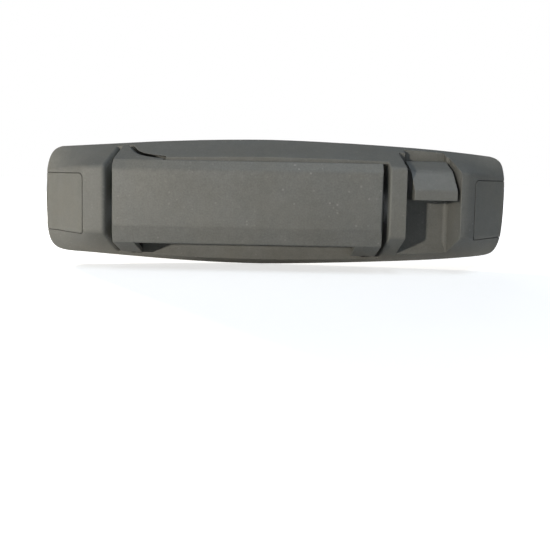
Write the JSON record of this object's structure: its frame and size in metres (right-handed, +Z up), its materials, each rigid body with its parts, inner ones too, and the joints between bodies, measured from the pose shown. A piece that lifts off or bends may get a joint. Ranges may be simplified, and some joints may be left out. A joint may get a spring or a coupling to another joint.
{
  "type": "car door handle",
  "caption": "Outside car door handle: lens-shaped plastic housing with a lift flap on rear hinge brackets, a finger bowl, a sliding key cover and flush end caps.",
  "frame": {"origin": "midway between the two mounting holes, on the plane of the door skin", "axes": "+X along the handle to the lock end, +Z up, the front faces -Y and +Y goes into the door"},
  "size_m": [0.2098, 0.0454, 0.057],
  "materials": {
    "housing_plastic": "fine moulded grain, grey",
    "flap_plastic": "fine moulded grain, grey",
    "cap_plastic": "fine moulded grain, grey",
    "cover_plastic": "fine moulded grain, grey",
    "lever_plastic": "moulded, light grey",
    "bush_plastic": "natural acetal",
    "pin_steel": "bright zinc",
    "clip_steel": "spring steel",
    "spring_steel": "spring wire",
    "buffer_rubber": "matt black"
  },
  "bodies": {
    "base": {"housing": "housing_plastic", "left_end_cap": "cap_plastic", "right_end_cap": "cap_plastic", "left_pivot_pin": "pin_steel", "right_pivot_pin": "pin_steel", "left_pin_clip": "clip_steel", "right_pin_clip": "clip_steel", "return_spring": "spring_steel", "lever_spring": "spring_steel", "flap_buffers": "buffer_rubber"},
    "flap": {"pull_flap": "flap_plastic", "left_pivot_bush": "bush_plastic", "right_pivot_bush": "bush_plastic", "release_lever": "lever_plastic"},
    "cover": {"key_cover": "cover_plastic"}
  },
  "joints": [
    {"name": "flap_hinge", "type": "hinge", "parent": "base", "child": "flap", "pos_m": [0, 0.011, 0.0125], "axis": [-1, 0, 0], "range_deg": [0, 20], "stiffness_Nm_per_rad": 0.6, "springref_deg": -8.59, "deforming": ["return_spring", "lever_spring"]},
    {"name": "cover_slide", "type": "slide", "parent": "base", "child": "cover", "axis": [0, 0, 1], "range_m": [0, 0.02]}
  ]
}
